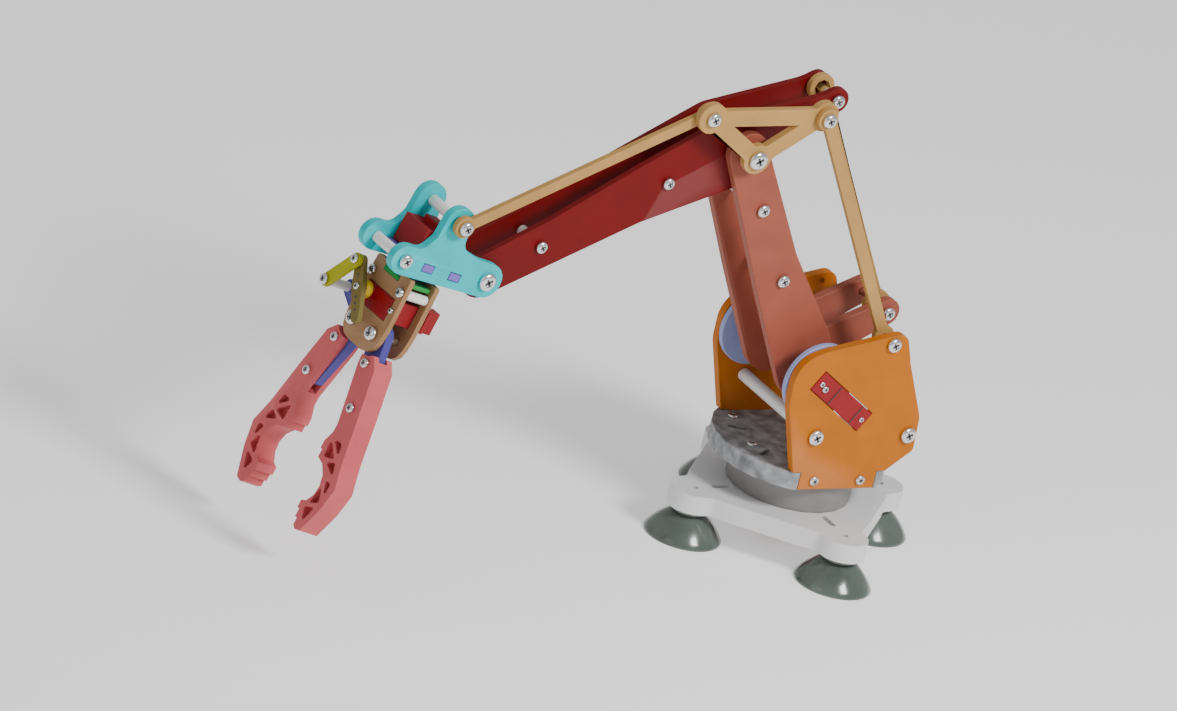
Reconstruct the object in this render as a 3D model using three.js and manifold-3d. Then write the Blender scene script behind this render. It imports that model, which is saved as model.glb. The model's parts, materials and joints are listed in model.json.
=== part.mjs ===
// Desktop robot arm with a parallel-link forearm and a two-finger gripper.
// Millimetres. +X points forwards along the arm, +Z up; +Y is the arm's left-hand side.
import * as THREE from 'three';
import { mergeVertices } from 'three/addons/utils/BufferGeometryUtils.js';
import Module from 'manifold-3d';

const wasm = await Module();
wasm.setup();

// ---- driving dimensions ----
const GAP = 0.3; // clearance between neighbouring pieces
const CUP_SPACING = 58.1; // suction cup axis to the yaw axis
const CUP_RADIUS = 20.7;
const LOBE_RADIUS = 13;
const BASE_Z = [17, 27.5];
const COLLAR_RADIUS = 33.1;
const DISC_RADIUS = 47.1;
const DISC_Z = [44.5, 54.3];
const SIDE_Y = [34, 39]; // side plate faces, from the centre plane
const SHOULDER = [22.3, 104.1];
const LOWER_ARM = [71.8, 126.9]; // shoulder to elbow
const UPPER_ARM = 160.5; // elbow to wrist
const UPPER_SLOPE = THREE.MathUtils.degToRad(26.6); // upper arm, downwards from level
const DRIVE_ARM = 57.5; // elbow to the drive pivot behind it, and the lever's length
const CRANK_FRONT = [34.8, 24.3]; // elbow to the bellcrank's front pivot
const CRANK_REAR = [-35.5, 24]; // elbow to its rear pivot
const WRIST_TILT = THREE.MathUtils.degToRad(16.5); // wrist frame, front up
const WRIST_FRONT_LUG = [56.4, -3];
const WRIST_TOP_LUG = [34.5, 25];
const LOWER_Y = [13.15, 18.15];
const UPPER_Y = [8, 11.5];
const WRIST_Y = [11.8, 16.8];
const FORE_LINK_Y = [18.5, 21.6];
const CRANK_Y = [22, 26];
const REAR_LINK_Y = [26.4, 29.7];
const HORN_Y = [30.1, 33.4];
const DRIVE_Y = [-7.4, -3.4];
const LEVER_NEAR_Y = [1.5, 6.5];
const LEVER_FAR_Y = [-23.5, -18.5];
const SHANK = 1.6; // screw shank radius
const HEAD = 2.6; // height of a screw's domed head
const TAIL = 2.2; // thickness of its other end
const PIN_HOLE = SHANK + GAP;
const GRIP_TOP = [45.6, -12]; // top of the gripper's front face, in the wrist frame's axes
const GRIP_PIVOT = [9.3, 36]; // gear arm pivots: half spacing, depth below the top edge

const add = ([a, b], [c, d]) => [a + c, b + d];
const ELBOW = add(SHOULDER, LOWER_ARM);
const ALONG = [Math.cos(UPPER_SLOPE), -Math.sin(UPPER_SLOPE)];
const WRIST = add(ELBOW, [UPPER_ARM * ALONG[0], UPPER_ARM * ALONG[1]]);
const DRIVE_TOP = add(ELBOW, [-DRIVE_ARM * ALONG[0], -DRIVE_ARM * ALONG[1]]);
const LEVER_END = add(SHOULDER, [-DRIVE_ARM * ALONG[0], -DRIVE_ARM * ALONG[1]]);
const FRONT_PIN = add(ELBOW, CRANK_FRONT);
const REAR_PIN = add(ELBOW, CRANK_REAR);
const REAR_FOOT = add(SHOULDER, CRANK_REAR);

// a point given along the upper arm and square to it
const onUpperArm = (s, h) => add(ELBOW, [s * ALONG[0] - h * ALONG[1], s * ALONG[1] + h * ALONG[0]]);
// a point given in the wrist frame's own axes
const onWrist = ([s, h]) => add(WRIST, [
  s * Math.cos(WRIST_TILT) - h * Math.sin(WRIST_TILT),
  s * Math.sin(WRIST_TILT) + h * Math.cos(WRIST_TILT),
]);
const WRIST_TOP = onWrist(WRIST_TOP_LUG);

// ---- outlines ----
const circle = ([x, y], r, steps = 10) => Array.from({ length: steps }, (_, i) => {
  const angle = (2 * Math.PI * i) / steps;
  return [x + r * Math.cos(angle), y + r * Math.sin(angle)];
});

// the outline of a belt round some circles [x, y, radius]
function belt(circles, steps = 20) {
  const ring = circles.flatMap(([x, y, r]) => circle([x, y], r, steps));
  ring.sort((a, b) => a[0] - b[0] || a[1] - b[1]);
  const turn = (o, a, b) => (a[0] - o[0]) * (b[1] - o[1]) - (a[1] - o[1]) * (b[0] - o[0]);
  const chain = (list) => list.reduce((kept, p) => {
    while (kept.length > 1 && turn(kept.at(-2), kept.at(-1), p) <= 1e-6) kept.pop();
    return [...kept, p];
  }, []).slice(0, -1);
  return [...chain(ring), ...chain(ring.reverse())];
}

// a polygon whose corners [x, y, radius] are rounded
function rounded(corners, steps = 3) {
  return corners.flatMap(([x, y, r = 0], i) => {
    if (!r) return [[x, y]];
    const at = new THREE.Vector2(x, y);
    const side = (j) => new THREE.Vector2(...corners.at(j % corners.length).slice(0, 2)).sub(at);
    const before = side(i - 1).normalize();
    const after = side(i + 1).normalize();
    const half = Math.acos(THREE.MathUtils.clamp(before.dot(after), -1, 1)) / 2;
    const centre = before.clone().add(after).normalize().multiplyScalar(r / Math.sin(half)).add(at);
    const start = before.multiplyScalar(r / Math.tan(half)).add(at).sub(centre).angle();
    const end = after.multiplyScalar(r / Math.tan(half)).add(at).sub(centre).angle();
    const sweep = Math.atan2(Math.sin(end - start), Math.cos(end - start));
    return Array.from({ length: steps + 1 }, (_, k) => {
      const angle = start + (sweep * k) / steps;
      return [centre.x + r * Math.cos(angle), centre.y + r * Math.sin(angle)];
    });
  });
}

const points = (list) => list.map(([x, y]) => new THREE.Vector2(x, y));

// ---- solids ----
function flat(outline, low, high, holes = []) {
  const shape = new THREE.Shape(points(outline));
  const slab = new THREE.ExtrudeGeometry(shape, { depth: high - low, bevelEnabled: false });
  slab.translate(0, 0, low);
  return holes.length ? cut(slab, ...holes.map((hole) => flat(hole, low - 1, high + 1))) : slab;
}

// an upright plate whose outline is (x, z), between two values of y
const plate = (outline, [low, high], holes = []) =>
  flat(outline, -high, -low, holes).rotateX(Math.PI / 2);

// a body of revolution about a line parallel to Y through (x, z); its profile is [radius, y]
function turned(profile, [x, z] = [0, 0], steps = 6) {
  const onAxis = [[0, profile[0][1]], ...profile, [0, profile.at(-1)[1]]];
  return new THREE.LatheGeometry(points(onAxis), steps).translate(x, 0, z);
}

const turnedUp = (profile, [x, y] = [0, 0], steps = 24) =>
  turned(profile, [0, 0], steps).rotateX(Math.PI / 2).translate(x, y, 0);

// a rod between two plates, with a screw head outside each plate
function tieRod(outer, inner, radius, place, head = 3.6) {
  const top = outer + GAP;
  const half = [[radius, inner - GAP], [SHANK, inner - GAP], [SHANK, top], [head, top], [head, top + 1.4],
    [head * 0.55, top + HEAD]];
  return turned([...half.map(([r, y]) => [r, -y]).reverse(), ...half], place);
}

// a pivot screw through what lies between two faces: a flat end below them, a domed head above
function pivotScrew(tail, shank, head, [low, high], place) {
  const bottom = low - GAP;
  const top = high + GAP;
  return turned([[tail, bottom - TAIL], [tail, bottom], [shank, bottom], [shank, top], [head, top],
    [head, top + 1.4], [head * 0.55, top + HEAD]], place);
}

const box = (low, high) => new THREE.BoxGeometry(...low.map((v, i) => high[i] - v))
  .translate(...low.map((v, i) => (v + high[i]) / 2));

function solid(geometry) {
  const bare = geometry.clone();
  bare.deleteAttribute('normal');
  bare.deleteAttribute('uv');
  const merged = mergeVertices(bare, 1e-4);
  const triangles = [];
  for (let i = 0; i < merged.index.count; i += 3) {
    const [a, b, c] = [0, 1, 2].map((k) => merged.index.getX(i + k));
    if (a !== b && b !== c && c !== a) triangles.push(a, b, c);
  }
  return new wasm.Manifold(new wasm.Mesh({
    numProp: 3,
    vertProperties: new Float32Array(merged.attributes.position.array),
    triVerts: new Uint32Array(triangles),
  }));
}

function geometryOf(manifold) {
  const mesh = manifold.getMesh();
  const geometry = new THREE.BufferGeometry();
  geometry.setAttribute('position', new THREE.BufferAttribute(new Float32Array(mesh.vertProperties), 3));
  geometry.setIndex(new THREE.BufferAttribute(new Uint32Array(mesh.triVerts), 1));
  return geometry;
}

const cut = (body, ...tools) =>
  geometryOf(tools.reduce((sum, tool) => sum.subtract(solid(tool)), solid(body)));
const join = (first, ...rest) =>
  geometryOf(rest.reduce((sum, other) => sum.add(solid(other)), solid(first)));

// ---- colours ----
const finish = (color, roughness = 0.5, metalness = 0) =>
  new THREE.MeshStandardMaterial({ color, roughness, metalness });
const WHITE = finish('#e9e9e6');
const CUP = finish('#39423f', 0.25);
const COLLAR = finish('#8c8c8c', 0.5);
const DISC = finish('#9a9c9c', 0.45, 0.7);
const ORANGE = finish('#d07b10');
const BROWN = finish('#9e5846');
const RED = finish('#7e0407');
const TAN = finish('#c6a468');
const CYAN = finish('#00c3c8');
const PURPLE = finish('#7864be');
const SERVO = finish('#b9000a', 0.35);
const STEEL = finish('#c8c8c8', 0.3, 0.9);
const ROD = finish('#eeeeea', 0.4);
const HORN = finish('#96a0c8');
const OLIVE = finish('#aaaa00');
const GREEN = finish('#1e8c3c');
const BLUE = finish('#4b4696');
const PINK = finish('#dc7078');
const SAND = finish('#a07855');

const robot = new THREE.Group();
function piece(name, geometry, material, parent = robot) {
  const mesh = new THREE.Mesh(geometry, material);
  mesh.name = name;
  parent.add(mesh);
  return mesh;
}

// ---- base ----
function basePlate() {
  const reach = CUP_SPACING + LOBE_RADIUS;
  const quarter = [[reach, -LOBE_RADIUS, LOBE_RADIUS], [reach, LOBE_RADIUS, LOBE_RADIUS],
    [55, LOBE_RADIUS, 6], [49, 20, 7], [20, 49, 7], [LOBE_RADIUS, 55, 6]];
  const turn = ([x, y, r], i) => [[x, y, r], [-y, x, r], [-x, -y, r], [y, -x, r]][i];
  const outline = rounded([0, 1, 2, 3].flatMap((i) => quarter.map((corner) => turn(corner, i))), 4);
  const slot = belt([[36, 0, 1.6], [46, 0, 1.6]], 8);
  const cuts = [0, 1, 2, 3].flatMap((i) => [
    flat(slot, BASE_Z[0] - 1, BASE_Z[1] + 1).rotateZ((i * Math.PI) / 2),
    flat(circle([58, 0], 2.2, 8), BASE_Z[0] + 4, BASE_Z[1] + 1).rotateZ((i * Math.PI) / 2),
  ]);
  const servoWell = box([-28, -11, BASE_Z[0] - 1], [14, 11, BASE_Z[1] + 1]);
  return cut(flat(outline, ...BASE_Z), ...cuts, servoWell);
}
piece('base_plate', basePlate(), WHITE);

const cupProfile = [[7, 4.5], [13, 3.2], [CUP_RADIUS - 1, 0], [CUP_RADIUS, 0],
  [CUP_RADIUS - 0.2, 1.6], [15.4, 8], [9.6, 13.4], [9.6, BASE_Z[0] - GAP]];
[['front', 0], ['left', 1], ['rear', 2], ['right', 3]].forEach(([side, quarter]) => {
  const angle = (quarter * Math.PI) / 2;
  const place = [CUP_SPACING * Math.cos(angle), CUP_SPACING * Math.sin(angle)];
  piece(`suction_cup_${side}`, turnedUp(cupProfile, place, 12), CUP);
});

piece('base_servo', join(
  box([-27.5, -10.2, 9], [13.5, 10.2, 42]),
  turnedUp([[5.5, 41], [5.5, DISC_Z[0] - GAP]], [0, 0], 16),
), SERVO);
piece('pedestal_collar', cut(
  turnedUp([[COLLAR_RADIUS, BASE_Z[1] + GAP], [COLLAR_RADIUS, DISC_Z[0] - GAP]], [0, 0], 20),
  turnedUp([[29.6, BASE_Z[1] - 1], [29.6, DISC_Z[0] + 1]], [0, 0], 20),
), COLLAR);

// ---- turntable ----
const TAB_X = [-24.1, 23];
const discSlot = (x, y, angle) =>
  flat(belt([[-4, 0, 1.5], [4, 0, 1.5]], 6), DISC_Z[0] - 1, DISC_Z[1] + 1)
    .rotateZ(angle).translate(x, y, 0);
piece('turntable_disc', cut(
  turnedUp([[DISC_RADIUS, DISC_Z[0]], [DISC_RADIUS, DISC_Z[1]]], [0, 0], 24),
  ...[1, -1].flatMap((side) => [
    box([-60, Math.min(side * SIDE_Y[1], side * 60), 40], [60, Math.max(side * SIDE_Y[1], side * 60), 60]),
    box([TAB_X[0] - GAP, Math.min(side * (SIDE_Y[0] - GAP), side * 50), 40],
      [TAB_X[1] + GAP, Math.max(side * (SIDE_Y[0] - GAP), side * 50), 60]),
  ]),
  discSlot(30, 14, 0.5), discSlot(30, -14, -0.5), discSlot(-30, 14, -0.5), discSlot(-30, -14, 0.5),
), DISC);

const WINDOW_CENTRE = [10.15, 95.65];
const WINDOW_SLOPE = 0.605;
function tilted(halfLength, halfHeight) {
  return [[-1, -1], [1, -1], [1, 1], [-1, 1]].map(([i, j]) => add(WINDOW_CENTRE, [
    i * halfLength * Math.cos(WINDOW_SLOPE) - j * halfHeight * Math.sin(WINDOW_SLOPE),
    i * halfLength * Math.sin(WINDOW_SLOPE) + j * halfHeight * Math.cos(WINDOW_SLOPE),
  ]));
}
const SIDE_RODS = [[20.6, 75.3], [-37.1, 75.5]];
const sideOutline = rounded([[TAB_X[1], 54.6], [TAB_X[1], 44.8], [TAB_X[0], 44.8], [TAB_X[0], 54.6],
  [-29.3, 54.6, 2], [-43.5, 66.3, 3], [-42.2, 85.5, 10], [-27.4, 116.8, 20], [-20.9, 134.5, 7],
  [24.5, 124.9, 12], [43.5, 119, 17], [42.4, 94.3, 20], [28.5, 54.6]], 7);
const sides = [['left', 1], ['right', -1]];
const mirrored = (side, [low, high]) => (side > 0 ? [low, high] : [-high, -low]);
sides.forEach(([name, side]) => {
  const holes = [...SIDE_RODS, REAR_FOOT].map((at) => circle(at, PIN_HOLE, 8));
  const window = tilted(22.2, 6.3);
  piece(`side_plate_${name}`, plate(sideOutline, mirrored(side, SIDE_Y), [...holes, window]), ORANGE);
});
[['front', 0], ['rear', 1]].forEach(([name, i]) => {
  piece(`side_rod_${name}`, tieRod(SIDE_Y[1], SIDE_Y[0], 3.4, SIDE_RODS[i], 4.4), ROD);
});
[['shoulder', 1], ['lever', -1]].forEach(([name, side]) => {
  const depth = mirrored(side, [HORN_Y[1] + GAP, SIDE_Y[1] + 0.5]);
  piece(`${name}_servo`, plate(tilted(21.9, 6), depth), SERVO);
});
piece('rear_link_screw', pivotScrew(3.2, SHANK, 4, [REAR_LINK_Y[0], SIDE_Y[1]], REAR_FOOT), STEEL);

// ---- lower arm ----
const [LEAN_X, LEAN_Z] = [LOWER_ARM[0], LOWER_ARM[1]].map((v) => v / Math.hypot(...LOWER_ARM));
// a point given along the lower arm from the shoulder, and forwards of it
const onLowerArm = (s, f, r) => [...add(SHOULDER, [s * LEAN_X + f * LEAN_Z, s * LEAN_Z - f * LEAN_X]), r];
const LOWER_LENGTH = Math.hypot(...LOWER_ARM);
const LOWER_SPACERS = [[0.74, 1], [0.41, 0]].map(([share, forwards]) =>
  onLowerArm(LOWER_LENGTH * share, forwards).slice(0, 2));
const lowerOutline = rounded([onLowerArm(-17, 17, 17), onLowerArm(60, 15.5, 60),
  onLowerArm(LOWER_LENGTH + 11, 11.5, 11), onLowerArm(LOWER_LENGTH + 11, -11, 11),
  onLowerArm(70, -11.5, 60), onLowerArm(15, -18, 20), onLowerArm(-17, -17, 17)], 6);
sides.forEach(([name, side]) => {
  const hub = circle(SHOULDER, side > 0 ? PIN_HOLE : 4 + GAP);
  const holes = [hub, circle(ELBOW, 3 + GAP), ...LOWER_SPACERS.map((at) => circle(at, PIN_HOLE, 8))];
  piece(`lower_arm_plate_${name}`, plate(lowerOutline, mirrored(side, LOWER_Y), holes), BROWN);
});
[['upper', 0], ['lower', 1]].forEach(([name, i]) => {
  piece(`lower_arm_spacer_${name}`, tieRod(LOWER_Y[1], LOWER_Y[0], 3, LOWER_SPACERS[i]), ROD);
});
const HORN_RADIUS = 21.5;
piece('shoulder_horn', turned([[SHANK, LOWER_Y[0] - 1], [SHANK, LOWER_Y[1] + GAP],
  [10, LOWER_Y[1] + GAP], [10, HORN_Y[0]], [HORN_RADIUS, HORN_Y[0]], [HORN_RADIUS, HORN_Y[1]]],
SHOULDER, 12), HORN);
piece('elbow_axle', pivotScrew(5, 3, 5.2, [-LOWER_Y[1], CRANK_Y[1]], ELBOW), STEEL);

// ---- bellcrank and the links that hold its angle ----
function bellcrank() {
  const corners = [[...ELBOW, 8.3], [...FRONT_PIN, 8.5], [...REAR_PIN, 8.3]];
  const bars = corners.map(([x, z], i) => {
    const [nextX, nextZ] = corners[(i + 1) % 3];
    return plate(belt([[x, z, 4.6], [nextX, nextZ, 4.6]], 16), CRANK_Y);
  });
  const eyes = corners.map(([x, z, r]) => plate(circle([x, z], r, 20), CRANK_Y));
  const bores = [[ELBOW, 3 + GAP], [FRONT_PIN, PIN_HOLE], [REAR_PIN, PIN_HOLE]];
  const through = [CRANK_Y[0] - 1, CRANK_Y[1] + 1];
  return cut(join(...bars, ...eyes), ...bores.map(([at, r]) => plate(circle(at, r), through)));
}
piece('bellcrank', bellcrank(), TAN);
const frontPin = pivotScrew(3, SHANK, 4, [FORE_LINK_Y[0], CRANK_Y[1]], FRONT_PIN);
const rearPin = pivotScrew(3, SHANK, 4, [CRANK_Y[0], REAR_LINK_Y[1]], REAR_PIN);
piece('bellcrank_pin_front', frontPin, STEEL);
piece('bellcrank_pin_rear', rearPin, STEEL);

function link(from, to, radius, waist, layer, holeFrom, holeTo) {
  const bar = belt([[...from, waist], [...to, waist]], 10);
  const eyes = [from, to].map((at) => plate(circle(at, radius, 20), layer));
  return cut(join(plate(bar, layer), ...eyes),
    plate(circle(from, holeFrom, 8), [layer[0] - 1, layer[1] + 1]),
    plate(circle(to, holeTo, 8), [layer[0] - 1, layer[1] + 1]));
}
piece('rear_link', link(REAR_FOOT, REAR_PIN, 6, 3.3, REAR_LINK_Y, PIN_HOLE, PIN_HOLE), TAN);
piece('forearm_link', link(FRONT_PIN, WRIST_TOP, 6, 3, FORE_LINK_Y, PIN_HOLE, 3.2), TAN);

// ---- lever and drive link ----
const leverOutline = belt([[...SHOULDER, 10.5], [...LEVER_END, 7.5]]);
[['near', LEVER_NEAR_Y], ['far', LEVER_FAR_Y]].forEach(([name, layer]) => {
  const holes = [circle(SHOULDER, 4 + GAP), circle(LEVER_END, 2 + GAP, 8)];
  piece(`lever_plate_${name}`, plate(leverOutline, layer, holes), BROWN);
});
const [leverBottom, leverTop] = [LEVER_FAR_Y[0], LEVER_NEAR_Y[1]];
piece('lever_horn', turned([[HORN_RADIUS, -HORN_Y[1]], [HORN_RADIUS, -HORN_Y[0]], [10, -HORN_Y[0]],
  [10, leverBottom - GAP], [4, leverBottom - GAP], [4, leverTop + GAP], [5.5, leverTop + GAP],
  [5.5, leverTop + 2.5]], SHOULDER, 12), HORN);
piece('lever_pin', pivotScrew(3.6, 2, 3.6, [leverBottom, leverTop], LEVER_END), STEEL);
piece('drive_link', link(LEVER_END, DRIVE_TOP, 7.6, 4, DRIVE_Y, 2 + GAP, 4.5), TAN);

// ---- upper arm ----
const upperOutline = rounded([[-64.5, -7, 6.9], [-45, -7.5, 30], [8, -21.5, 22], [66, -14.3, 80],
  [172, -12, 11.5], [172.5, 11.5, 11.5], [117, 13, 60], [60, 18.2, 80], [8, 21.5, 22], [-50, 7.2, 30],
  [-64.5, 7, 6.9]].map(([s, h, r]) => [...onUpperArm(s, h), r]), 6);
const UPPER_SPACERS = [onUpperArm(46, 1), onUpperArm(124, 0.5)];
sides.forEach(([name, side]) => {
  const holes = [circle(ELBOW, 3 + GAP), circle(WRIST, 2.6 + GAP), circle(DRIVE_TOP, PIN_HOLE, 8),
    ...UPPER_SPACERS.map((at) => circle(at, PIN_HOLE, 8))];
  piece(`upper_arm_plate_${name}`, plate(upperOutline, mirrored(side, UPPER_Y), holes), RED);
});
[['rear', 0], ['front', 1]].forEach(([name, i]) => {
  piece(`upper_arm_spacer_${name}`, tieRod(UPPER_Y[1], UPPER_Y[0], 3, UPPER_SPACERS[i], 3.4), ROD);
});
piece('drive_pin', tieRod(UPPER_Y[1], UPPER_Y[0], 2.5, DRIVE_TOP, 4), STEEL);

// ---- wrist: its own axes start at the wrist axle ----
const wrist = new THREE.Group();
wrist.position.set(WRIST[0], 0, WRIST[1]);
wrist.rotation.y = -WRIST_TILT;
robot.add(wrist);
const wristOutline = rounded([[-9.6, -9.2, 9], [65, -11.5, 8.3], [65, 5.4, 8.3], [49, 5.4, 6],
  [44, 14, 6], [43.5, 33.6, 8.6], [26, 33.6, 8.6], [25.5, 12.5, 7], [10, 9.6, 16], [-9.6, 9.6, 9.4]], 5);
const TAB_CENTRES = [20.8, 39.6];
sides.forEach(([name, side]) => {
  const tabHoles = TAB_CENTRES.map((s) => box([s - 3.9, -20, -5.9], [s + 3.9, 20, -1.1]));
  const holes = [circle([0, 0], 2.6 + GAP), circle(WRIST_FRONT_LUG, PIN_HOLE, 8),
    circle(WRIST_TOP_LUG, PIN_HOLE, 8)];
  const cheek = cut(plate(wristOutline, mirrored(side, WRIST_Y), holes), ...tabHoles);
  piece(`wrist_plate_${name}`, cheek, CYAN, wrist);
});
piece('wrist_axle', pivotScrew(4.6, 2.6, 5, [-WRIST_Y[1], WRIST_Y[1]], [0, 0]), STEEL, wrist);
piece('wrist_rod_front', tieRod(WRIST_Y[1], WRIST_Y[0], 3, WRIST_FRONT_LUG, 4), ROD, wrist);
const [cheekIn, cheekOut, linkOut] = [WRIST_Y[0] - GAP, WRIST_Y[1] + GAP, FORE_LINK_Y[1] + GAP];
piece('wrist_rod_top', turned([[3.6, -cheekOut - 2.4], [3.6, -cheekOut], [SHANK, -cheekOut],
  [SHANK, -cheekIn], [3, -cheekIn], [3, cheekIn], [SHANK, cheekIn], [SHANK, linkOut], [4, linkOut],
  [4, linkOut + 1.4], [4 * 0.55, linkOut + HEAD]], WRIST_TOP_LUG), ROD, wrist);
const ROLL_S = GRIP_TOP[0] - 10.25; // the roll axis lies midway between the gripper's plates
piece('wrist_cross_plate', cut(
  join(box([14, -11.5, -5.6], [50, 11.5, -1.4]),
    ...TAB_CENTRES.map((s) => box([s - 3.6, -WRIST_Y[1] - 0.2, -5.6], [s + 3.6, WRIST_Y[1] + 0.2, -1.4]))),
  turnedUp([[3.6, -8], [3.6, 1]], [ROLL_S, 0], 16),
), PURPLE, wrist);
piece('wrist_servo', join(
  box([ROLL_S - 6, -11, -1], [ROLL_S + 11.6, 11, 15]),
  box([ROLL_S - 4, -6, 14], [ROLL_S + 4, 6, 18.5]),
), SERVO, wrist);

// ---- gripper: x across, y up its face, z out of its front face ----
const gripper = new THREE.Group();
gripper.position.set(GRIP_TOP[0], 0, GRIP_TOP[1]);
gripper.rotation.set(Math.PI / 2, Math.PI / 2, 0);
wrist.add(gripper);
const FRONT_Z = [-3, 0];
const BACK_Z = [-20.5, -17.5];
const BRACKET_Y = [-5.2, -2.8];
const hornProfile = [[6.8, -2.5], [6.8, 3], [5, 3], [5, 5.6], [3.2, 5.6], [3.2, 10.6]];
piece('wrist_horn', turned(hornProfile, [0, -10.25], 20), HORN, gripper);
const gripHoles = [...[-1, 1].map((i) => circle([i * GRIP_PIVOT[0], -GRIP_PIVOT[1]], 2 + GAP, 8)),
  circle([-14, -9.2], PIN_HOLE), circle([13.6, -9.2], PIN_HOLE),
  rounded([[-7.3, -5.5], [7.3, -5.5], [7.3, -2.5], [-7.3, -2.5]]),
  rounded([[-12.9, -27.1], [12.2, -27.1], [12.2, -13.9], [-12.9, -13.9]])];
const gripOutline = rounded([[-16.4, -0.1, 1.5], [16.4, -0.1, 1.5], [17.4, -30, 6], [15.5, -46.6, 10],
  [-15.5, -46.6, 10], [-17.4, -30, 6]]);
piece('gripper_plate_front', flat(gripOutline, ...FRONT_Z, gripHoles), SAND, gripper);
piece('gripper_plate_back', flat(gripOutline, ...BACK_Z, gripHoles), SAND, gripper);
const along = (geometry) => geometry.rotateX(Math.PI / 2);
const gripRod = (x, y, radius, shank, top = HEAD) => along(turned([
  [3, BACK_Z[0] - 2.4], [3, BACK_Z[0] - GAP], [shank, BACK_Z[0] - GAP], [shank, BACK_Z[1] + GAP], [radius, BACK_Z[1] + GAP], [radius, FRONT_Z[0] - GAP],
  [shank, FRONT_Z[0] - GAP], [shank, GAP], [3.2, GAP], [3.2, top - 1], [1.9, top]])).translate(x, y, 0);
piece('gripper_spacer_right', gripRod(-14, -9.2, 2.6, SHANK), ROD, gripper);
piece('gripper_spacer_left', gripRod(13.6, -9.2, 2.6, SHANK), ROD, gripper);
[['right', -1], ['left', 1]].forEach(([name, side]) => {
  piece(`gear_pivot_${name}`, gripRod(side * GRIP_PIVOT[0], -GRIP_PIVOT[1], 2, 2, 3.7), STEEL, gripper);
});
piece('gripper_bracket', join(
  box([-14, BRACKET_Y[0], BACK_Z[1] + GAP], [14, BRACKET_Y[1], FRONT_Z[0] - GAP]),
  box([-7, BRACKET_Y[0], BACK_Z[0] - 0.6], [7, BRACKET_Y[1], 0.6])), GREEN, gripper);
const SHAFT = [-7.5, -18.8];
piece('gripper_servo', join(box([-12.6, -26.8, -33], [11.9, -14.2, 0.5]),
  along(turned([[5.4, 0], [5.4, 2.6], [2.2, 2.6], [2.2, 7]])).translate(...SHAFT, 0)), SERVO, gripper);
const ARM_END = [-15.2, -7.2];
const armTail = [2 * SHAFT[0] - ARM_END[0] + 2, 2 * SHAFT[1] - ARM_END[1] - 2];
piece('gripper_servo_arm', flat(belt([[...ARM_END, 3.4], [...SHAFT, 4.4], [...armTail, 3]], 12), 7.3, 10.3,
  [circle(ARM_END, 1.3 + GAP, 10)]), OLIVE, gripper);
const LINK_END = [-28.5, -26.5];
piece('grip_link', flat(belt([[...ARM_END, 3.6], [...LINK_END, 3.6]], 12), 10.6, 13.4,
  [circle(ARM_END, 1.3 + GAP, 10), circle(LINK_END, 2.1, 12)]), OLIVE, gripper);

// each gear arm swings on its pivot, inside a slot in the inner side of its finger
const FINGER_Z = [-12.9, -0.2];
const GEAR_Z = [-9, -4];
const fingerScrews = [[15.2, -50.5], [22, -74]];
function gearArm(side) {
  const pivot = [side * GRIP_PIVOT[0], -GRIP_PIVOT[1]];
  const at = ([x, y], r) => [side * x, y, r];
  const rounds = [[...pivot, 7], at(fingerScrews[0], 4.4), at(fingerScrews[1], 3.6), at([18.6, -76], 3)];
  const arm = flat(belt(rounds, 14), ...GEAR_Z);
  const bore = flat(circle(pivot, 2 + GAP), GEAR_Z[0] - 1, GEAR_Z[1] + 1);
  if (side > 0) return cut(arm, bore);
  const ear = flat(belt([[...pivot, 4.4], [...LINK_END, 4.4]], 16), ...GEAR_Z);
  return cut(join(arm, ear), bore, flat(circle(LINK_END, PIN_HOLE, 12), GEAR_Z[0] - 1, GEAR_Z[1] + 1));
}
piece('grip_link_pin', along(turned([
  [3, GEAR_Z[0] - 2.4], [3, GEAR_Z[0] - GAP], [SHANK, GEAR_Z[0] - GAP], [SHANK, GEAR_Z[1] + GAP],
  [2.6, GEAR_Z[1] + GAP], [2.6, 10.3], [1.5, 10.3], [1.5, 13.7], [3, 13.7], [3, 15],
])).translate(...LINK_END, 0), ROD, gripper);

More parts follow.
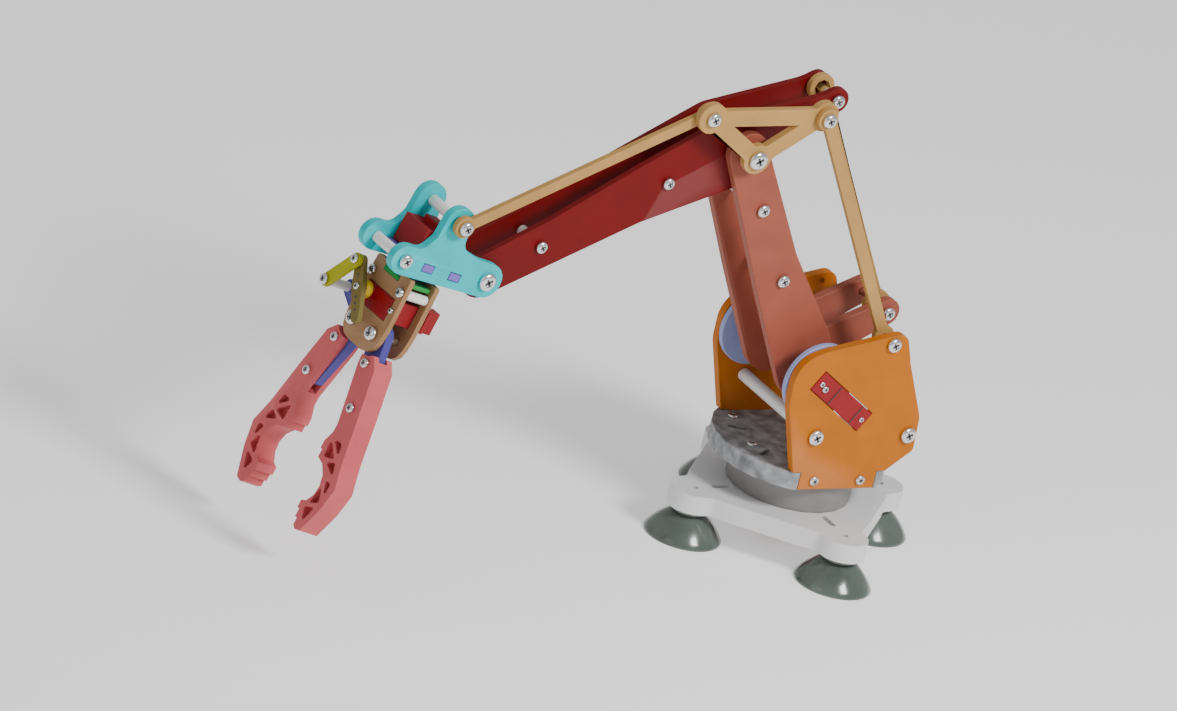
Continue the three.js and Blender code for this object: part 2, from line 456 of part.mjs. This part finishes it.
const fingerOutline = [[18.5, -44.5], [23.8, -50], [30.3, -75], [36, -99], [41, -113.5], [38, -127],
  [31.5, -142.5], [27.5, -143.5], [25, -142], [25, -138], [23.2, -138], [23.2, -133.5], [21.4, -133.5],
  [21.4, -129], [25, -127.5], [28.2, -122.5], [28.8, -117], [27, -111.5], [22.5, -107], [17, -105.5],
  [17, -101], [15.4, -101], [15.4, -96.5], [18.2, -90], [18.2, -85], [9.6, -53], [9, -47]];
const gearSlot = [[2, -40], [20, -40], [20.7, -51], [26.6, -74.5], [25.5, -79.5], [18, -84], [10, -84]];
function finger(side) {
  const flip = (list) => list.map(([x, y]) => [side * x, y]);
  const blind = (list) => flat(flip(rounded(list.map(([x, y]) => [x, y, 0.8]), 1)), FINGER_Z[1] - 4, 1);
  const pockets = [[[21.5, -92], [29, -92], [31, -99]], [[20, -93.5], [29.5, -101], [20.5, -103.5]],
    [[24.5, -104.8], [31.5, -102], [34.5, -109]], [[31, -112], [36, -112.5], [35.5, -121]],
    [[30.5, -116], [34.8, -124], [27.5, -128]], [[26, -130.5], [34, -127.5], [29.5, -138]]];
  const collar = flat(circle([side * GRIP_PIVOT[0], -GRIP_PIVOT[1]], 11.8, 20), FINGER_Z[0] - 1, 1);
  const holes = fingerScrews.map(([x, y]) => flat(circle([side * x, y], 1.6, 8), FINGER_Z[0] - 1, 1));
  const slot = flat(flip(gearSlot), GEAR_Z[0] - GAP, GEAR_Z[1] + GAP);
  return cut(flat(flip(fingerOutline), ...FINGER_Z), collar, slot, ...pockets.map(blind), ...holes);
}
[['right', -1], ['left', 1]].forEach(([name, side]) => {
  piece(`gear_arm_${name}`, gearArm(side), BLUE, gripper);
  piece(`finger_${name}`, finger(side), PINK, gripper);
});

// the part's origin is the middle of its box on the floor
const group = new THREE.Group();
group.add(robot);
robot.updateMatrixWorld(true);
const extent = new THREE.Box3().setFromObject(robot, true);
const middle = extent.getCenter(new THREE.Vector3());
robot.position.set(-middle.x, -middle.y, -extent.min.z);
export default group;
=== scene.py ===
import json
import math

import bmesh
import bpy
from mathutils import Matrix, Vector


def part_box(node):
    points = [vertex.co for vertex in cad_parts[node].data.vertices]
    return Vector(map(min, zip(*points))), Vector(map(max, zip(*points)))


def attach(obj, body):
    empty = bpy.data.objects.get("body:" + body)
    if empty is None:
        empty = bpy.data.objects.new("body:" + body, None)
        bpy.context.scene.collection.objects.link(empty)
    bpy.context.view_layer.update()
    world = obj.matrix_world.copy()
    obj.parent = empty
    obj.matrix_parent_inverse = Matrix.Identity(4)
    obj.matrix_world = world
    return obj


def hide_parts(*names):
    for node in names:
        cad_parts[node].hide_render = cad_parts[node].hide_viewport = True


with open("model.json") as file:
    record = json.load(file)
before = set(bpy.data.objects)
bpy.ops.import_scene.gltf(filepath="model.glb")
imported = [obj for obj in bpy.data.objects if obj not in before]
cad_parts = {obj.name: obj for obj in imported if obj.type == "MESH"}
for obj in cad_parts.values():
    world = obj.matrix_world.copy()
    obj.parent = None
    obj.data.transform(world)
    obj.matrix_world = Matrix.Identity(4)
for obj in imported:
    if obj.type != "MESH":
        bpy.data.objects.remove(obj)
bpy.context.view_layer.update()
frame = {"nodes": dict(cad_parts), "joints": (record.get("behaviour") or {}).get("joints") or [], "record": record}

MM = 0.001
NODES = frame["nodes"]
JOINTS = {j["name"]: j for j in frame["joints"]}
BODY_OF = {n: b for b, names in frame["record"]["behaviour"]["bodies"].items() for n in names}
SLOT_OF = {s["node"]: s["material_slot"] for s in frame["record"]["subparts"]}
Y, Z = Vector((0, 1, 0)), Vector((0, 0, 1))


def at(joint):
    return Vector(JOINTS[joint]["pos_m"])


YAW, SHOULDER, ROLL = at("base_yaw"), at("shoulder"), at("wrist_roll")
GRIP_UP = Vector(JOINTS["wrist_roll"]["axis"]).normalized()
GRIP_OUT = Vector((GRIP_UP.z, 0, -GRIP_UP.x))
GRIP_DEPTH = 10.25  # the roll axis lies this far behind the gripper's front face


def on_grip(x, y, z):
    """A point in the gripper's own axes, in mm: across, up its face, out of its face."""
    return ROLL + MM * (x * Y + y * GRIP_UP + (z + GRIP_DEPTH) * GRIP_OUT)


# ---- materials ----
EDGE_WEAR = 0.25  # how far a rubbed edge goes towards its lighter colour


def coat(name, color, rough=0.45, metal=0.0, grain=900, mottle=0.06, bump=0.08, scale=60, clear=0.0):
    """A finish with a fine grain, soft mottling and lighter, rubbed edges."""
    m = bpy.data.materials.new(name)
    m.use_nodes = True
    n, link = m.node_tree.nodes, m.node_tree.links.new
    bsdf = n["Principled BSDF"]
    bsdf.inputs["Metallic"].default_value = metal
    bsdf.inputs["Coat Weight"].default_value = clear
    bsdf.inputs["Specular IOR Level"].default_value = 0.5 if metal or clear else 0.18
    place = n.new("ShaderNodeTexCoord")
    cloud = n.new("ShaderNodeTexNoise")
    cloud.inputs["Scale"].default_value = scale
    cloud.inputs["Detail"].default_value = 6
    fine = n.new("ShaderNodeTexNoise")
    fine.inputs["Scale"].default_value = grain
    fine.inputs["Detail"].default_value = 3
    for noise in (cloud, fine):
        link(place.outputs["Object"], noise.inputs["Vector"])
    tone = n.new("ShaderNodeValToRGB")
    tone.color_ramp.elements[0].position = 0.3
    tone.color_ramp.elements[1].position = 0.7
    tone.color_ramp.elements[0].color = (*[c * (1 - 1.6 * mottle) for c in color], 1)
    tone.color_ramp.elements[1].color = (*[min(1, c * (1 + mottle) + mottle * 0.03) for c in color], 1)
    link(cloud.outputs["Fac"], tone.inputs["Fac"])
    edge = n.new("ShaderNodeNewGeometry")
    rub = n.new("ShaderNodeValToRGB")
    rub.color_ramp.elements[0].position = 0.54
    rub.color_ramp.elements[1].position = 0.62
    rub.color_ramp.elements[1].color = (EDGE_WEAR, EDGE_WEAR, EDGE_WEAR, 1)
    link(edge.outputs["Pointiness"], rub.inputs["Fac"])
    worn = n.new("ShaderNodeMixRGB")
    worn.inputs["Color2"].default_value = (*[min(1, c * 1.25 + 0.12) for c in color], 1)
    link(rub.outputs["Color"], worn.inputs["Fac"])
    link(tone.outputs["Color"], worn.inputs["Color1"])
    link(worn.outputs["Color"], bsdf.inputs["Base Color"])
    sheen = n.new("ShaderNodeMapRange")
    sheen.inputs["To Min"].default_value = max(0.04, rough - 0.1)
    sheen.inputs["To Max"].default_value = min(1, rough + 0.12)
    link(cloud.outputs["Fac"], sheen.inputs["Value"])
    link(sheen.outputs["Result"], bsdf.inputs["Roughness"])
    relief = n.new("ShaderNodeBump")
    relief.inputs["Strength"].default_value = bump
    relief.inputs["Distance"].default_value = 0.0004
    link(fine.outputs["Fac"], relief.inputs["Height"])
    link(relief.outputs["Normal"], bsdf.inputs["Normal"])
    return m


MATERIALS = {
    "white": coat("white_coat", (0.7, 0.7, 0.7), 0.45, mottle=0.02),
    "cup": coat("cup_rubber", (0.075, 0.1, 0.085), 0.2, mottle=0.15, bump=0.03, clear=0.3),
    "collar": coat("collar_grey", (0.23, 0.22, 0.215), 0.42, metal=0.2),
    "disc": coat("galvanised", (0.29, 0.3, 0.31), 0.5, mottle=0.34, scale=150, bump=0.12, grain=700),
    "orange": coat("orange_plate", (0.47, 0.13, 0.0), 0.46),
    "brown": coat("clay_plate", (0.3, 0.075, 0.045), 0.48),
    "red": coat("dark_red_plate", (0.15, 0.0, 0.0004), 0.5),
    "tan": coat("tan_plate", (0.45, 0.25, 0.075), 0.48),
    "cyan": coat("cyan_plate", (0.0, 0.5, 0.54), 0.42),
    "purple": coat("purple_plate", (0.17, 0.12, 0.46), 0.46),
    "servo": coat("servo_case", (0.26, 0.0, 0.003), 0.5, mottle=0.1),
    "steel": coat("screw_steel", (0.72, 0.72, 0.73), 0.2, metal=1.0, mottle=0.08, bump=0.03),
    "rod": coat("rod_white", (0.8, 0.79, 0.76), 0.38, mottle=0.03, clear=0.1),
    "horn": coat("horn_lilac", (0.27, 0.31, 0.55), 0.42),
    "olive": coat("olive_link", (0.38, 0.38, 0.004), 0.45),
    "green": coat("green_bracket", (0.006, 0.26, 0.035), 0.45),
    "blue": coat("gear_blue", (0.06, 0.05, 0.27), 0.45),
    "pink": coat("finger_pink", (0.58, 0.1, 0.11), 0.45),
    "sand": coat("sand_plate", (0.32, 0.17, 0.075), 0.48),
}
# near black: the real dark of the servo seams, and painted shade standing in for the hollows of the screw slots
# and the servo arm's holes
SEAM_DARK_AND_PAINTED_SHADE = coat("seam_dark_and_painted_shade", (0.02, 0.02, 0.02), 0.5, metal=0.3)
ARM_OLIVE = coat("servo_arm_olive", (0.17, 0.13, 0.03), 0.45)
YELLOW = coat("output_yellow", (0.7, 0.5, 0.01), 0.4)
CRISP_ANGLE = 0.6  # radians: edges sharper than this stay crisp


# ---- mesh helpers ----
def finish_mesh(name, bm, material, body, bevel=0.0):
    """Turns a bmesh into a piece on a body, smooth but for its crisp edges, which may be bevelled."""
    bmesh.ops.recalc_face_normals(bm, faces=bm.faces)
    for face in bm.faces:
        face.smooth = True
    for e in bm.edges:
        e.smooth = not (e.is_manifold and e.calc_face_angle(0) > CRISP_ANGLE)
    mesh = bpy.data.meshes.new(name)
    bm.to_mesh(mesh)
    bm.free()
    piece = bpy.data.objects.new(name, mesh)
    bpy.context.scene.collection.objects.link(piece)
    mesh.materials.append(material)
    if bevel:
        round_edges = piece.modifiers.new("edges", "BEVEL")
        round_edges.width = bevel
        round_edges.segments = 2
        round_edges.limit_method = "ANGLE"
        round_edges.angle_limit = CRISP_ANGLE
        even = piece.modifiers.new("even_normals", "WEIGHTED_NORMAL")
        even.keep_sharp = True
        even.weight = 100
    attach(piece, body)
    return piece


def frame_on(origin, axis):
    """A matrix whose Z lies along axis, at origin."""
    return Matrix.Translation(origin) @ axis.normalized().to_track_quat("Z", "Y").to_matrix().to_4x4()


def add_lathe(bm, profile, origin, axis, steps=36):
    """profile is [radius, height] in mm from the bottom to the top; it closes on the axis at both ends."""
    place = frame_on(origin, axis)
    rings = []
    for r, h in profile:
        ring = []
        for i in range(steps):
            angle = 2 * math.pi * i / steps
            point = Vector((MM * r * math.cos(angle), MM * r * math.sin(angle), MM * h))
            ring.append(bm.verts.new(place @ point))
        rings.append(ring)
    for low, high in zip(rings, rings[1:]):
        for i in range(steps):
            j = (i + 1) % steps
            bm.faces.new((low[i], low[j], high[j], high[i]))
    bm.faces.new(list(reversed(rings[0])))
    bm.faces.new(rings[-1])


def add_box(bm, centre, size, turn=Matrix.Identity(3)):
    place = Matrix.Translation(centre) @ turn.to_4x4() @ Matrix.Diagonal((*size, 1))
    bmesh.ops.create_cube(bm, size=1, matrix=place)


def add_cross(bm, top, axis, radius):
    """Painted shade: dark boxes in the shape of the two crossed slots of a screw head, standing a hair proud of
    its recess.
    """
    turn = frame_on(Vector(), axis).to_3x3()
    for spin in (0.5, 0.5 + math.pi / 2):
        spun = turn @ Matrix.Rotation(spin, 3, "Z")
        add_box(bm, top, (MM * radius * 1.05, MM * radius * 0.24, MM * 0.5), spun)


screws = {}


def screw(body, seat, axis, radius=2.6, height=1.9):
    """A pan-head screw whose underside sits on seat; all screws of a body become one piece."""
    screws.setdefault(body, []).append((seat, axis.normalized(), radius, height))


def head_profile(r, h):
    """A domed head whose middle is sunk, for the cross to stand in."""
    return [(r * 0.96, 0), (r, 0.12 * h), (r, 0.5 * h), (0.92 * r, 0.76 * h), (0.74 * r, 0.94 * h),
            (0.5 * r, h), (0.46 * r, 0.84 * h)]


def build_screws():
    for body, seats in screws.items():
        # each head's cross is a dark piece of painted shade standing in for the hollow of its slots
        heads, slot_shade = bmesh.new(), bmesh.new()
        for seat, axis, r, h in seats:
            add_lathe(heads, head_profile(r, h), seat, axis, 24)
            add_cross(slot_shade, seat + axis * MM * h * 0.82, axis, r)
        finish_mesh(f"screws_{body}", heads, MATERIALS["steel"], body)
        finish_mesh(f"screw_slot_shade_{body}", slot_shade, SEAM_DARK_AND_PAINTED_SHADE, body)


def centre_of(node):
    low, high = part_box(node)
    return (Vector(low) + Vector(high)) / 2


def mid_plane(point):
    """The point moved across onto the arm's middle plane."""
    return Vector((point.x, 0, point.z))


def from_yaw(x, y, z):
    """A point in mm, measured from the turntable's axis on the floor."""
    return Vector((YAW.x + x * MM, y * MM, z * MM))


def replace_lathe(node, profile, origin, axis, steps=36):
    """A finer turned piece in the place of a node."""
    bm = bmesh.new()
    add_lathe(bm, profile, origin, axis, steps)
    slot = SLOT_OF[node]
    piece = finish_mesh(node + "_fine", bm, MATERIALS[slot], BODY_OF[node])
    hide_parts(node)


def refine(node, bevel=0.45 * MM, material=None):
    """The node's own shape with its vertices joined and its edges rounded over."""
    bm = bmesh.new()
    bm.from_mesh(NODES[node].data)
    bmesh.ops.remove_doubles(bm, verts=bm.verts, dist=2e-6)
    bmesh.ops.dissolve_limit(bm, angle_limit=0.01, verts=bm.verts, edges=bm.edges)
    slot = SLOT_OF[node]
    piece = finish_mesh(node + "_fine", bm, material or MATERIALS[slot], BODY_OF[node], bevel)
    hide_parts(node)


# ---- shared measures, in mm ----
ROUND_STEPS = 56  # sides of the large round pieces, then of the rods and the gripper's pins
ROD_STEPS = 32
PIN_STEPS = 28
GAP = 0.3  # clearance between neighbouring pieces, and the chamfer on a rod's ends
SHANK = 1.6  # screw shank radius
HEAD = 2.6  # height of a pivot screw's head
TAIL = 2.2  # thickness of its other end
SIDE_FACES = (39, 34)  # outer and inner faces of each pair of plates, from the middle plane
LOWER_FACES = (18.15, 13.15)
UPPER_FACES = (11.5, 8)
WRIST_FACES = (16.8, 11.8)

# ---- base ----
CUP = [(7, 4.5), (13, 3.2), (19.7, 0.02), (20.5, 0.0), (20.7, 0.6), (20.5, 1.4), (19.2, 3.4), (17.4, 5.8),
       (15.2, 8.3), (12.8, 10.6), (10.6, 12.4), (9.4, 13.4), (8.6, 13.7), (8.2, 14), (8.2, 14.4), (9.3, 14.6),
       (9.6, 14.9), (9.6, 15.8), (9.2, 16), (8.2, 16.2), (8.2, 16.7)]
for side in ("front", "left", "rear", "right"):
    node = "suction_cup_" + side
    middle = centre_of(node)
    replace_lathe(node, CUP, Vector((middle.x, middle.y, 0)), Z, ROUND_STEPS)
refine("base_plate", 0.6 * MM)
refine("base_servo")
refine("pedestal_collar")
refine("turntable_disc", 0.4 * MM)
LOBE_HOLE = 58  # from the turntable's axis
HOLE_FLOOR = 21.5
DISC_TOP = 54.3
for i in range(4):
    angle = i * math.pi / 2
    screw("base", from_yaw(LOBE_HOLE * math.cos(angle), LOBE_HOLE * math.sin(angle), HOLE_FLOOR), Z, 2.0, 1.5)
for x, y in ((34, 6), (26, -26), (-28, 26), (8, 27)):
    screw("turntable", from_yaw(x, y, DISC_TOP), Z, 2.6, 1.6)

# ---- turntable ----
for side in ("left", "right"):
    refine("side_plate_" + side, 0.5 * MM)
    out = 1 if side == "left" else -1
    for x in (-14.4, 14.4):
        screw("turntable", from_yaw(x, out * SIDE_FACES[0], 50), Y * out, 2.7, 2.0)

# the side servos' faces stand a little proud of the side plates, tilted by WINDOW_SLOPE
WINDOW_SLOPE = 0.605
LENGTHWAYS = Vector((math.cos(WINDOW_SLOPE), 0, math.sin(WINDOW_SLOPE)))
UPWARDS = Vector((-math.sin(WINDOW_SLOPE), 0, math.cos(WINDOW_SLOPE)))
SERVO_FACE = 39.5
SEAM = (0.6 * MM, 0.5 * MM, 11.2 * MM)
for node, out in (("shoulder_servo", 1), ("lever_servo", -1)):
    refine(node, 0.6 * MM)
    middle = mid_plane(centre_of(node))
    face = Y * out * SERVO_FACE * MM
    turn = Matrix((LENGTHWAYS, Y, UPWARDS)).transposed()
    seams = bmesh.new()
    for along in (-13.5, 6.5):
        add_box(seams, middle + Y * out * (SERVO_FACE + 0.05) * MM + LENGTHWAYS * along * MM, SEAM, turn)
    finish_mesh(node + "_seams", seams, SEAM_DARK_AND_PAINTED_SHADE, "turntable")
    for along in (-18.5, 18.5):
        screw("turntable", middle + face + LENGTHWAYS * along * MM, Y * out, 1.5, 0.9)
    screw("turntable", mid_plane(SHOULDER) + face - UPWARDS * MM, Y * out, 1.9, 1.2)


# ---- rods and screws that hold plates apart ----
def tie(node, faces, radius, head):
    """A rod between two plates with a screw head outside each."""
    outer, inner = faces
    middle = mid_plane(centre_of(node))
    top = outer + GAP
    end = inner - GAP
    half = [(radius, end - GAP), (radius - GAP, end), (SHANK, end), (SHANK, top)]
    replace_lathe(node, [(r, -y) for r, y in reversed(half)] + half, middle, Y, ROD_STEPS)
    for out in (1, -1):
        screw(BODY_OF[node], middle + Y * out * top * MM, Y * out, head, 2.4)


for node in ("side_rod_front", "side_rod_rear"):
    tie(node, SIDE_FACES, 3.4, 4.4)
for node in ("lower_arm_spacer_upper", "lower_arm_spacer_lower"):
    tie(node, LOWER_FACES, 3, 3.6)
for node in ("upper_arm_spacer_rear", "upper_arm_spacer_front"):
    tie(node, UPPER_FACES, 3, 3.4)
tie("drive_pin", UPPER_FACES, 2.5, 3.8)
tie("wrist_rod_front", WRIST_FACES, 3, 4)


def pivot(node, tail, shank, head):
    """A pivot screw: a flat end at its low side and a domed head at its high side."""
    low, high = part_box(node)
    middle = mid_plane(centre_of(node))
    bottom = low[1] / MM
    seat = high[1] / MM - HEAD
    profile = [(tail - GAP, bottom), (tail, bottom + GAP), (tail, bottom + TAIL), (shank, bottom + TAIL),
               (shank, seat)]
    replace_lathe(node, profile, middle, Y, ROD_STEPS)
    screw(BODY_OF[node], middle + Y * seat * MM, Y, head, 2.5)


pivot("rear_link_screw", 3.2, SHANK, 4)
pivot("elbow_axle", 5, 3, 5.2)
pivot("bellcrank_pin_front", 3, SHANK, 4)
pivot("bellcrank_pin_rear", 3, SHANK, 4)
pivot("wrist_axle", 4.6, 2.6, 5)
pivot("lever_pin", 3.6, 2, 3.6)
top_rod = mid_plane(centre_of("wrist_rod_top"))
LINK_FACE = 21.9  # where the screw head beside the forearm link sits
TOP_ROD = [(3.6, -19.5), (3.6, -17.1), (SHANK, -17.1), (SHANK, -11.5), (2.8, -11.5), (3, -11.2), (3, 11.2),
           (2.8, 11.5), (SHANK, 11.5), (SHANK, LINK_FACE)]
replace_lathe("wrist_rod_top", TOP_ROD, top_rod, Y, ROD_STEPS)
screw("wrist_frame", top_rod + Y * LINK_FACE * MM, Y, 4, HEAD)

# ---- horns ----
RIM = [(21, 30.1), (21.5, 30.6), (21.5, 32.9), (21, 33.4)]
SHOULDER_HORN = [(SHANK, 12.15), (SHANK, 18.45), (9.7, 18.45), (10, 18.8), (10, 30.1), *RIM]
LEVER_HORN = [*[(r, -y) for r, y in reversed(RIM)], (10, -30.1), (10, -23.8), (4, -23.8), (4, 6.8),
              (5.5, 6.8), (5.5, 9)]
replace_lathe("shoulder_horn", SHOULDER_HORN, mid_plane(SHOULDER), Y, ROUND_STEPS)
replace_lathe("lever_horn", LEVER_HORN, mid_plane(SHOULDER), Y, ROUND_STEPS)

# ---- arms, links, wrist plates ----
for node in ("lower_arm_plate_left", "lower_arm_plate_right", "upper_arm_plate_left", "upper_arm_plate_right",
             "bellcrank", "rear_link", "forearm_link", "lever_plate_near", "lever_plate_far", "drive_link",
             "wrist_plate_left", "wrist_plate_right", "wrist_cross_plate", "wrist_servo"):
    refine(node)

# ---- gripper ----
WRIST_HORN = [(6.5, -2.5), (6.8, -2.2), (6.8, 2.7), (6.5, 3), (5, 3), (5, 5.6), (3.2, 5.6), (3.2, 10.6)]
replace_lathe("wrist_horn", WRIST_HORN, on_grip(0, 0, -GRIP_DEPTH), GRIP_UP, 40)
for node in ("gripper_plate_front", "gripper_plate_back", "gripper_bracket", "gripper_servo",
             "gear_arm_right", "gear_arm_left", "grip_link"):
    refine(node, 0.35 * MM)
refine("gripper_servo_arm", 0.35 * MM, ARM_OLIVE)
for node in ("finger_right", "finger_left"):
    refine(node, 0.3 * MM)


def grip_rod(node, x, y, radius, shank, height, head):
    """A rod through the gripper's two plates with a screw head on the front one."""
    profile = [(3, -22.9), (3, -20.8), (shank, -20.8), (shank, -17.2), (radius, -17.2), (radius, -3.3),
               (shank, -3.3), (shank, GAP)]
    replace_lathe(node, profile, on_grip(x, y, 0), GRIP_OUT, PIN_STEPS)
    screw("gripper", on_grip(x, y, GAP), GRIP_OUT, head, height)


grip_rod("gripper_spacer_right", -14, -9.2, 2.6, SHANK, 2.0, 2.8)
grip_rod("gripper_spacer_left", 13.6, -9.2, 2.6, SHANK, 2.0, 2.8)
grip_rod("gear_pivot_right", -9.3, -36, 2, 2, 3, 4)
grip_rod("gear_pivot_left", 9.3, -36, 2, 2, 3, 4)
LINK_END = (-28.5, -26.5)  # ends of the yellow link, then the servo's shaft
ARM_END = (-15.2, -7.2)
SHAFT = (-7.5, -18.8)
LINK_PIN = [(3, -11.4), (3, -9.3), (SHANK, -9.3), (SHANK, -3.7), (2.3, -3.7), (2.6, -3.4), (2.6, 10),
            (1.5, 10.3), (1.5, 13.7)]
replace_lathe("grip_link_pin", LINK_PIN, on_grip(*LINK_END, 0), GRIP_OUT, PIN_STEPS)
screw("finger_right", on_grip(*LINK_END, 13.7), GRIP_OUT, 3, 1.7)
screw("servo_arm", on_grip(*ARM_END, 13.5), GRIP_OUT, 2.6, 1.6)
for body, side in (("finger_right", -1), ("finger_left", 1)):
    for x, y in ((15.2, -50.5), (22, -74)):
        screw(body, on_grip(side * x, y, -0.2), GRIP_OUT, 2.7, 2.0)
screw("gripper", on_grip(13.6, -20, 0), GRIP_OUT, 1.6, 1.2)
screw("gripper", on_grip(-14.4, -30, 0), GRIP_OUT, 1.6, 1.2)
hub = bmesh.new()
add_lathe(hub, [(4.6, 2.8), (4.8, 3.2), (4.8, 6.2), (4.4, 6.8), (2.6, 7.1)], on_grip(*SHAFT, 0), GRIP_OUT, 36)
finish_mesh("servo_output_hub", hub, YELLOW, "gripper")
# painted shade: dark discs on the servo arm in place of the shade inside its holes
hole_shade = bmesh.new()
for step in (-0.75, -0.45, 0.4, 0.65, 0.9):
    x = SHAFT[0] + step * (SHAFT[0] - ARM_END[0])
    y = SHAFT[1] + step * (SHAFT[1] - ARM_END[1])
    add_lathe(hole_shade, [(0.8, 10.1), (0.8, 10.34)], on_grip(x, y, 0), GRIP_OUT, 12)
finish_mesh("servo_arm_hole_shade", hole_shade, SEAM_DARK_AND_PAINTED_SHADE, "servo_arm")
screw("servo_arm", on_grip(*SHAFT, 10.3), GRIP_OUT, 1.9, 1.2)
turn = Matrix((Y, GRIP_UP, GRIP_OUT)).transposed()
ears = bmesh.new()
for x in (-14.6, 13.9):
    add_box(ears, on_grip(x, -20.5, -23.5), (3.6 * MM, 12 * MM, 2.2 * MM), turn)
finish_mesh("gripper_servo_ears", ears, MATERIALS["servo"], "gripper", 0.3 * MM)
build_screws()

for node, piece in NODES.items():
    if not piece.hide_render:
        piece.data.materials.clear()
        piece.data.materials.append(MATERIALS[SLOT_OF[node]])

# ---- floor, light and camera ----
floor_mesh = bpy.data.meshes.new("floor")
floor_mesh.from_pydata([(-4, -4, 0), (4, -4, 0), (4, 4, 0), (-4, 4, 0)], [], [(0, 1, 2, 3)])
floor = bpy.data.objects.new("floor", floor_mesh)
bpy.context.scene.collection.objects.link(floor)
pale = bpy.data.materials.new("pale_floor")
pale.use_nodes = True
floor_shader = pale.node_tree.nodes["Principled BSDF"]
floor_shader.inputs["Base Color"].default_value = (0.9, 0.9, 0.9, 1)
floor_shader.inputs["Roughness"].default_value = 0.9
floor_shader.inputs["Specular IOR Level"].default_value = 0.0
floor_shader.inputs["Emission Color"].default_value = (1, 1, 1, 1)
floor_shader.inputs["Emission Strength"].default_value = 0.34
floor_mesh.materials.append(pale)

world = bpy.data.worlds.new("studio")
bpy.context.scene.world = world
world.use_nodes = True
world.node_tree.nodes["Background"].inputs["Color"].default_value = (1, 1, 1, 1)
world.node_tree.nodes["Background"].inputs["Strength"].default_value = 0.52


def area_light(name, place, target, size, power):
    data = bpy.data.lights.new(name, "AREA")
    data.size = size
    data.energy = power
    lamp = bpy.data.objects.new(name, data)
    bpy.context.scene.collection.objects.link(lamp)
    lamp.location = place
    lamp.rotation_euler = (Vector(target) - Vector(place)).to_track_quat("-Z", "Y").to_euler()


area_light("key", (-0.35, 1.1, 1.1), (0, 0, 0.1), 0.4, 21)
area_light("fill", (1.3, 0.3, 0.7), (0, 0, 0.1), 0.9, 2)

# the camera is orthographic; RIGHT and UP are the picture's own directions on the part
RIGHT = Vector((-0.8245, 0.5124, 0.2408)).normalized()
UP = Vector((-0.0196, -0.4509, 0.8925)).normalized()
BACK = RIGHT.cross(UP)
VIEW_WIDTH = 0.6092
VIEW_SHIFT = (-0.09621, 0.09138)  # from the turntable's axis on the floor, to the right and up
VIEW_DISTANCE = 1.5
middle = from_yaw(0, 0, 0) + VIEW_SHIFT[0] * RIGHT + VIEW_SHIFT[1] * UP
camera_data = bpy.data.cameras.new("camera")
camera_data.type = "ORTHO"
camera_data.ortho_scale = VIEW_WIDTH
camera_data.clip_end = 20
camera = bpy.data.objects.new("camera", camera_data)
bpy.context.scene.collection.objects.link(camera)
facing = Matrix((RIGHT, UP, BACK)).transposed().to_4x4()
camera.matrix_world = Matrix.Translation(middle + BACK * VIEW_DISTANCE) @ facing
bpy.context.scene.camera = camera

bpy.context.view_layer.update()
